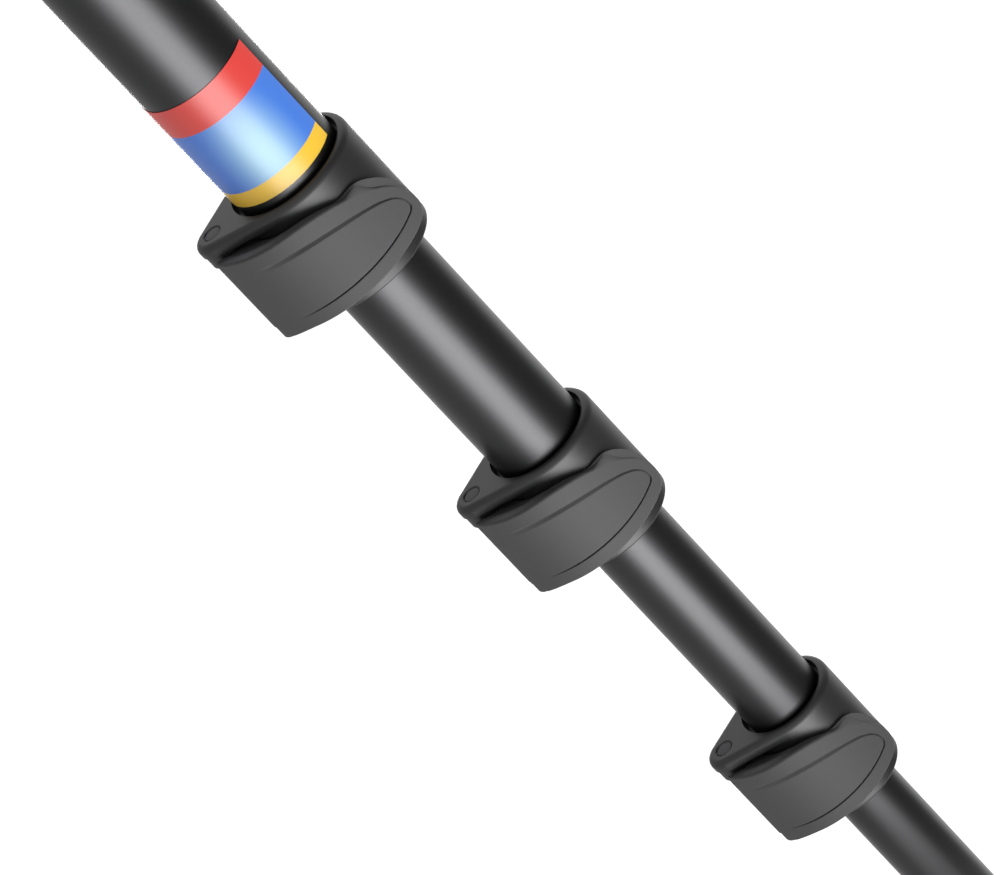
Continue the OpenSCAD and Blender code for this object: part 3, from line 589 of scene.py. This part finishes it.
    under = lock_top - boss_depth - wall_gap
    over = lock_foot + foot_lug_t + wall_gap
    knuckle = turned(rounded([(0, over, 0), (knuckle_r, over, knuckle_round),
                              (knuckle_r, under, knuckle_round), (0, under, 0)]), bore_steps, -pin * mm)
    mesh = joined(mesh, knuckle, "UNION")
    shoe_low = lock_top - window_top - window_h + shoe_side
    shoe_top = shoe_low + shoe_h
    cam = rounded([(0, shoe_low, 0), (cam_r, shoe_low, cam_round),
                   (cam_r, shoe_top, cam_round), (0, shoe_top, 0)])
    mesh = joined(mesh, turned(cam, bore_steps, (-pin + cam_throw) * mm), "UNION")
    web = [(-pin, 0), (-pin - knuckle_r + knuckle_over, 0)]
    for d in range(web_from, web_to - 1, -web_step):
        web.append(arc_point(face_r - web_skin, math.radians(d), 0)[:2])
    for d in (web_to, web_to + web_step):
        web.append(arc_point(web_r, math.radians(d), 0)[:2])
    web.append((-pin + knuckle_r * math.cos(math.pi / 4), -knuckle_r * math.sin(math.pi / 4)))
    mesh = joined(mesh, prism(web, lock_top - plate_bottom + corner_r, under - web_under), "UNION")
    shelf, slices = bmesh.new(), []
    for d in range(web_from, shelf_to - 1, -web_step):
        a = math.radians(d)
        near = wall_reach(a, wall_r + wall_gap + shelf_gap)
        z = lock_top - shelf_drop + face_edge_at(face_r * math.cos(a) - arc_x)
        dip = shelf_fall * min(1, (web_r - near) / shelf_run)
        corners = ((near, z - dip), (near, z - shelf_t), (web_r, z - shelf_t), (web_r, z))
        slices.append(ring(shelf, [arc_point(k, a, h) for k, h in corners]))
    shelf.faces.new(slices[0])
    shelf.faces.new(slices[-1])
    skin(shelf, slices)
    mesh = joined(mesh, shelf, "UNION")
    bore = cylinder(hole_r - fit_gap + pin_run, over - bore_over, lock_top, -pin)
    mesh = joined(mesh, bore, "DIFFERENCE")
    relief = cylinder(lug_r + 2 * wall_gap, under, lock_top, -pin)
    mesh = joined(mesh, relief, "DIFFERENCE")
    notch = cylinder(foot_lug_r + wall_gap, lock_foot - cut_over, over - notch_under, -pin)
    mesh = joined(mesh, notch, "DIFFERENCE")
    lever = settle(mesh, f"cam_lever_{number}", lever_plastic, sharp=30)
    weigh(lever)
    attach(lever, f"lever_{number}")
    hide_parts(f"lever_{number}")

# Brake shoes. Small nylon blocks in the collars' windows, hollowed to the inner tube, which the cam
# presses against it.
for number in lock_bodies:
    paint(f"brake_shoe_{number}", nylon)

# Foam grip. A sleeve of closed-cell foam, 130 mm long and 4.5 mm thick, pushed on the top tube, with
# soft rounded ends and a slightly uneven surface.
grip_round, grip_rings = 3.0, 48
grip_ripple, grip_wave, grip_swell = 0.06, 0.35, 0.11
foam_grain, foam_cell, cell_depth, cell_strength = 0.7, 0.6, 0.12, 0.8
foam_dark, foam_light = "#1c1c1e", "#2b2b2d"

# Closed-cell foam, moulded: a deep matt black, with small cells that take the light unevenly.
foam, tree, shader, place = new_material("grip_foam", {"Roughness": 0.95, "Specular IOR Level": 0.25,
                                                       "Sheen Weight": 0.08, "Sheen Roughness": 0.6})
grain = add_node(tree, "ShaderNodeTexNoise", {"Vector": place, "Scale": 1 / (foam_grain * mm), "Detail": 2.0})
tone = add_node(tree, "ShaderNodeMix", {0: grain.outputs[0], 6: linear(foam_dark), 7: linear(foam_light)},
                data_type="RGBA")
cells = add_node(tree, "ShaderNodeTexVoronoi", {"Vector": place, "Scale": 1 / (foam_cell * mm)})
bump = add_node(tree, "ShaderNodeBump", {"Height": cells.outputs["Distance"], "Distance": cell_depth * mm,
                                         "Strength": cell_strength})
tree.links.new(tone.outputs[2], shader.inputs["Base Color"])
tree.links.new(bump.outputs["Normal"], shader.inputs["Normal"])

low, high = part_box("foam_grip")
outer, inner = high.x / mm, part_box("tube_1")[1].x / mm + fit_gap
bottom, middle, top = low.z / mm, (low.z + high.z) / 2 / mm, high.z / mm
profile = rounded([(inner, bottom, 0), (outer, bottom, grip_round), (outer, middle, 0)], steps=8)[:-1]
length = (high.z - low.z) / mm - 2 * grip_round
for k in range(1, grip_rings):
    z = bottom + grip_round + length * k / grip_rings
    profile.append((outer - grip_ripple * (1 + math.sin(z * grip_wave) * math.sin(z * grip_swell)), z))
profile += rounded([(outer, middle, 0), (outer, top, grip_round), (inner, top, 0)], steps=8)[1:]
grip = settle(turned(profile, steps=128), "foam_sleeve", foam)
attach(grip, "upper_section")
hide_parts("foam_grip")

# Head. A satin black painted alloy platform 45 mm across on a plastic plug in the top tube, held by
# three countersunk screws under the pad and a grub screw in its skirt.
paint("head_plug", collar_plastic)

# Plain steel, turned: bright, with soft reflections.
steel = grained("steel", {"Metallic": 1.0, "Roughness": 0.3},
                size=0.2, depth=0.002, dark="#b4b6ba", light="#c2c4c8")
paint("platform_screws", steel)
paint("platform_grub_screw", black_steel)

# Satin paint on cast alloy: black, with an even sheen.
painted = grained("painted_alloy", {"Roughness": 0.4, "Coat Weight": 0.1},
                  size=0.5, depth=0.01, dark="#262628", light="#2d2d2f")
paint("camera_platform", painted)

# Pad. A moulded ring of black rubber, 2 mm thick, let into the platform's face, with fine turned
# grooves for grip.
pad_hole_r, pad_round, pad_hole_round = 7.4, 0.4, 0.3
groove_pitch, groove_w, groove_depth, groove_slope = 1.6, 0.7, 0.35, 0.15
groove_brim, groove_root, groove_from, groove_to = 0.1, 0.05, 1.2, 0.8

# Rubber, moulded: a dull black that hardly reflects.
rubber = grained("rubber", {"Roughness": 0.75, "Specular IOR Level": 0.35},
                 size=0.5, depth=0.02, dark="#1b1b1c", light="#232324")

low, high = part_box("platform_pad")
outer, bottom, top = high.x / mm, low.z / mm, high.z / mm
corners = [(pad_hole_r, bottom, 0), (outer, bottom, 0), (outer, top, pad_round)]
r = outer - groove_from
while r - groove_w > pad_hole_r + groove_to:
    corners += [(r, top, groove_brim), (r - groove_slope, top - groove_depth, groove_root),
                (r - groove_w + groove_slope, top - groove_depth, groove_root),
                (r - groove_w, top, groove_brim)]
    r -= groove_pitch
corners.append((pad_hole_r, top, pad_hole_round))
pad = settle(turned(rounded(corners, steps=2), steps=128), "grooved_pad", rubber)
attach(pad, "upper_section")
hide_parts("platform_pad")

# Camera screw. A turned steel quarter-inch screw, 20 turns an inch, with a thin flange at its foot and
# a wider lower end that goes down through the platform.
screw_r, screw_lower_r, screw_lower, screw_round = 3.175, 4.76, 16.0, 0.4
screw_tip, screw_tip_in, screw_tip_round = 0.6, 0.4, 0.1
screw_flange_r, screw_flange_low, screw_flange_top, screw_flange_drop = 6.6, 0.2, 0.3, 0.2
pitch, thread_depth, thread_root, thread_flat, thread_bite = 1.27, 0.55, 0.5, 0.09, 0.3
thread_from, thread_to, thread_steps = 0.45, 0.55, 48
low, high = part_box("camera_screw")
end, start = high.z / mm, low.z / mm
seat = start + screw_lower + fit_gap
flange_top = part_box("platform_pad")[1].z / mm - screw_flange_drop
core = screw_r - thread_depth
profile = rounded([(0, start, 0), (screw_lower_r, start, screw_round), (screw_lower_r, seat, 0),
                   (screw_flange_r, seat, screw_flange_low), (screw_flange_r, flange_top, screw_flange_top),
                   (core, flange_top, 0), (core, end - screw_tip, screw_tip_round),
                   (core - screw_tip_in, end, screw_tip_round), (0, end, 0)], steps=3)
mesh = turned(profile, steps=96)
ridge = bmesh.new()
rise = flange_top + thread_from
section = ((core - thread_bite, -thread_root), (core, -thread_root), (screw_r, -thread_flat),
           (screw_r, thread_flat), (core, thread_root), (core - thread_bite, thread_root))
line = [ridge.verts.new(Vector((r, 0, rise + z)) * mm) for r, z in section]
edges = [ridge.edges.new((line[k - 1], line[k])) for k in range(len(line))]
turns = (end - thread_to - rise) / pitch
steps = int(thread_steps * turns)
bmesh.ops.spin(ridge, geom=line + edges, cent=(0, 0, 0), axis=(0, 0, 1), angle=2 * math.pi * turns,
               dvec=(0, 0, turns * pitch * mm / steps), steps=steps, use_merge=False)
bmesh.ops.holes_fill(ridge, edges=[e for e in ridge.edges if e.is_boundary], sides=0)
bmesh.ops.recalc_face_normals(ridge, faces=ridge.faces)
screw = settle(joined(mesh, ridge, "UNION"), "threaded_screw", steel)
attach(screw, "upper_section")
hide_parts("camera_screw")

# Foot. A black rubber boot on the lowest tube with three turned grooves and a spread sole, screwed
# on by a steel stud whose head is cast into the rubber and which turns in a plastic plug.
paint("foot_plug", collar_plastic)
paint("foot_stud", steel)
paint("rubber_foot", rubber)

# Studio. A white floor where the foot stands with all sections drawn out, a white surround that is
# dimmer as a light, a lit sheet at the front right and a soft lamp behind. Low panels in front and
# behind and a grey card show only in gloss, a dark card in all light.
surround, floor_glow, floor_drop, floor_size = 0.18, 0.86, 0.86, 20
lamp_rise, lamp_away, lamp_size, lamp_level, lamp_aim = 45, 2.2, 1.2, 0.5, 0.25
panel_h = 0.004

# Each panel has an x and a y, a width, a depth and a brightness; each card two angles and a brightness.
panels = {
    "near panel": (-0.030, -0.215, 0.19, 0.13, 7.5), "middle panel": (-0.066, -0.42, 0.39, 0.28, 7.5),
    "far panel": (-0.163, -0.96, 0.90, 0.80, 7.5), "back panel": (0.0, 0.45, 0.14, 0.28, 3.0),
    "far back panel": (0.0, 1.20, 0.40, 1.10, 10.0), "lit sheet": (0.38, -0.42, 0.50, 0.50, 8.3),
}
card_r, card_h, card_steps = 0.075, 0.60, 24
cards = {"dark card": (33, 112, 0.25), "grey card": (-150, -50, 0.6)}


def glowing(name, colour, level):
    """A matt material that also shines white at that level, without being sampled as a lamp."""
    material = new_material(name, {"Base Color": colour, "Roughness": 1.0, "Specular IOR Level": 0.0,
                                   "Emission Color": (1, 1, 1, 1), "Emission Strength": level})[0]
    material.cycles.emission_sampling = "NONE"
    return material


world = bpy.data.worlds.new("surround")
bpy.context.scene.world = world
world.use_nodes = True
tree = world.node_tree
# What the camera, gloss or glass sees directly is full white.
path = add_node(tree, "ShaderNodeLightPath", {}).outputs
gloss = add_node(tree, "ShaderNodeMath", {0: path["Is Camera Ray"], 1: path["Is Glossy Ray"]},
                 operation="MAXIMUM")
direct = add_node(tree, "ShaderNodeMath", {0: gloss.outputs[0], 1: path["Is Transmission Ray"]},
                  operation="MAXIMUM")
level = add_node(tree, "ShaderNodeMapRange",
                 {"Value": direct.outputs[0], "To Min": surround, "To Max": 1.0})
tree.nodes["Background"].inputs["Color"].default_value = (1, 1, 1, 1)
tree.links.new(level.outputs[0], tree.nodes["Background"].inputs["Strength"])
world.cycles.sampling_method = "NONE"

mesh = bmesh.new()
bmesh.ops.create_grid(mesh, x_segments=1, y_segments=1, size=floor_size,
                      matrix=Matrix.Translation((0, 0, -floor_drop)))
floor = settle(mesh, "floor", glowing("floor_white", (0.8, 0.8, 0.8, 1), floor_glow))

for name, (x, y, width, depth, glow) in panels.items():
    lamp = bpy.data.lights.new(name, "AREA")
    lamp.shape, lamp.size, lamp.size_y = "RECTANGLE", width, depth
    lamp.energy = glow * math.pi * width * depth
    holder = bpy.data.objects.new(name, lamp)
    holder.matrix_world = Matrix.Translation((x, y, panel_h)) @ Matrix.Rotation(math.pi, 4, "X")
    holder.visible_camera = False
    holder.visible_diffuse = name == "lit sheet"
    holder.visible_glossy = name != "lit sheet"
    bpy.context.scene.collection.objects.link(holder)

lamp = bpy.data.lights.new("back lamp", "AREA")
lamp.shape, lamp.size = "DISK", lamp_size
lamp.energy = lamp_level * math.pi ** 2 * lamp_away ** 2
toward = Matrix.Rotation(math.pi, 4, "Z") @ Matrix.Rotation(math.radians(90 - lamp_rise), 4, "X")
holder = bpy.data.objects.new("back lamp", lamp)
holder.matrix_world = Matrix.Translation((0, 0, lamp_aim)) @ toward @ Matrix.Translation((0, 0, lamp_away))
holder.visible_camera = holder.visible_glossy = False
bpy.context.scene.collection.objects.link(holder)

for name, (start, end, glow) in cards.items():
    mesh = bmesh.new()
    turn = Matrix.Rotation(math.radians(start - 90), 4, "Z")
    line = [mesh.verts.new(turn @ Vector((card_r, 0, z))) for z in (0.0, card_h)]
    edge = mesh.edges.new(line)
    bmesh.ops.spin(mesh, geom=line + [edge], cent=(0, 0, 0), axis=(0, 0, 1),
                   angle=math.radians(end - start), steps=card_steps, use_merge=False)
    card = settle(mesh, name, glowing(name, (0, 0, 0, 1), glow))
    card.visible_camera = card.visible_shadow = card.visible_transmission = False
    card.visible_diffuse = name == "dark card"

# Camera. A long lens 1.45 m from the middle lock, looking down at 29 degrees and rolled, so that the
# tube runs from upper left to lower right.
aim, distance, fall = Vector((-6.91, 3.06, 251.97)) * mm, 1.45, math.radians(29)
roll_x, roll_u = 0.72852, 0.68503
back = Vector((0, -math.cos(fall), math.sin(fall)))
across, upward = Vector((1, 0, 0)), Vector((0, math.sin(fall), math.cos(fall)))
right = roll_x * across - roll_u * upward
up = roll_u * across + roll_x * upward
lens = bpy.data.cameras.new("camera")
lens.lens, lens.sensor_width, lens.sensor_fit = 210.7, 36, "HORIZONTAL"
lens.clip_start, lens.clip_end = 0.05, 60
camera = bpy.data.objects.new("camera", lens)
facing = Matrix((right, up, back)).transposed().to_4x4()
camera.matrix_world = Matrix.Translation(aim + distance * back) @ facing
bpy.context.scene.collection.objects.link(camera)
bpy.context.scene.camera = camera
bpy.context.scene.view_settings.view_transform = "Standard"
